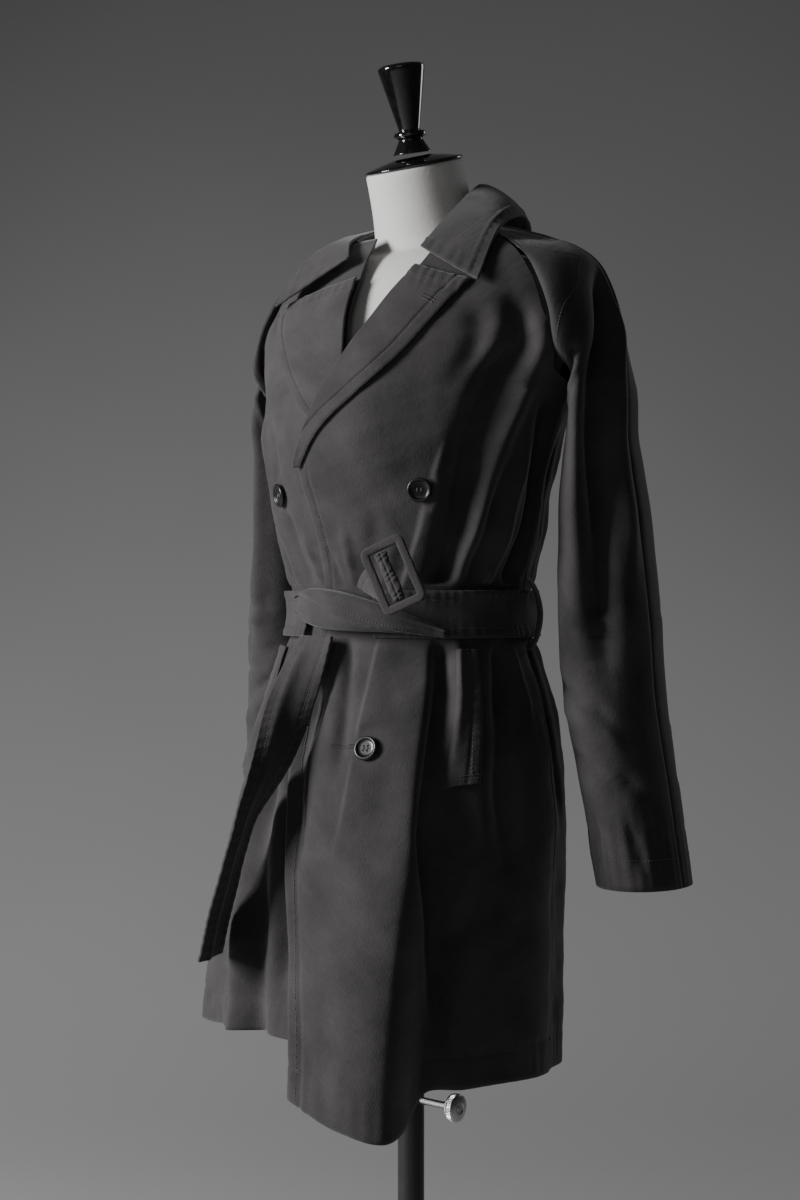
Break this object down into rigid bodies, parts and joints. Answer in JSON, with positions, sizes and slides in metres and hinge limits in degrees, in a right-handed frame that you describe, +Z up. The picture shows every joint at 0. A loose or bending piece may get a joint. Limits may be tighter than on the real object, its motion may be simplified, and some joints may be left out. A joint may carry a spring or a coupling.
{
  "type": "trench coat on a limbless dress form with stand",
  "caption": "Belted double-breasted raglan trench coat, worn open-necked on a limbless dress form that slides and turns on a round-based stand.",
  "frame": {"origin": "centre of the stand base's underside, on the pole's axis", "axes": "+Z up along the pole; the coat's front faces -Y; the wearer's left is +X"},
  "size_m": [0.568, 0.4369, 1.6143],
  "materials": {
    "twill": "matt washed cotton twill, charcoal black",
    "twill_trims": "matt washed cotton twill, charcoal black, topstitched",
    "horn_black": "polished black horn effect",
    "lacquered_wood": "gloss black lacquer",
    "linen": "off-white linen skin, stretched smooth",
    "black_iron": "satin black paint",
    "steel": "bright knurled steel"
  },
  "bodies": {
    "stand": {"stand_base": "black_iron", "stand_tube": "black_iron"},
    "clamp": {"clamp_screw": "steel", "clamp_wheel": "steel"},
    "rod": {"sliding_rod": "black_iron"},
    "form": {"coat_back": "twill", "front_left": "twill", "front_right": "twill", "sleeve_front_left": "twill", "sleeve_back_left": "twill", "sleeve_front_right": "twill", "sleeve_back_right": "twill", "lapel_left": "twill_trims", "lapel_right": "twill_trims", "collar_stand": "twill_trims", "collar_leaf": "twill_trims", "welt_left": "twill_trims", "welt_right": "twill_trims", "belt_waist": "twill_trims", "belt_loop_left": "twill_trims", "belt_loop_right": "twill_trims", "belt_knot": "twill_trims", "belt_tail": "twill_trims", "belt_strap": "twill_trims", "buckle_frame": "twill_trims", "buckle_bar": "twill_trims", "button_upper_left": "horn_black", "button_upper_right": "horn_black", "button_lower_left": "horn_black", "button_lower_right": "horn_black", "form_torso": "linen", "neck_cap": "lacquered_wood", "finial": "lacquered_wood"}
  },
  "joints": [
    {"name": "clamp_turn", "type": "hinge", "parent": "stand", "child": "clamp", "pos_m": [0, 0, 0.525], "axis": [1, 0, 0], "continuous": true},
    {"name": "height_slide", "type": "slide", "parent": "stand", "child": "rod", "axis": [0, 0, 1], "range_m": [-0.12, 0.12]},
    {"name": "form_turn", "type": "hinge", "parent": "rod", "child": "form", "pos_m": [0, 0, 0.9], "axis": [0, 0, 1], "continuous": true}
  ]
}
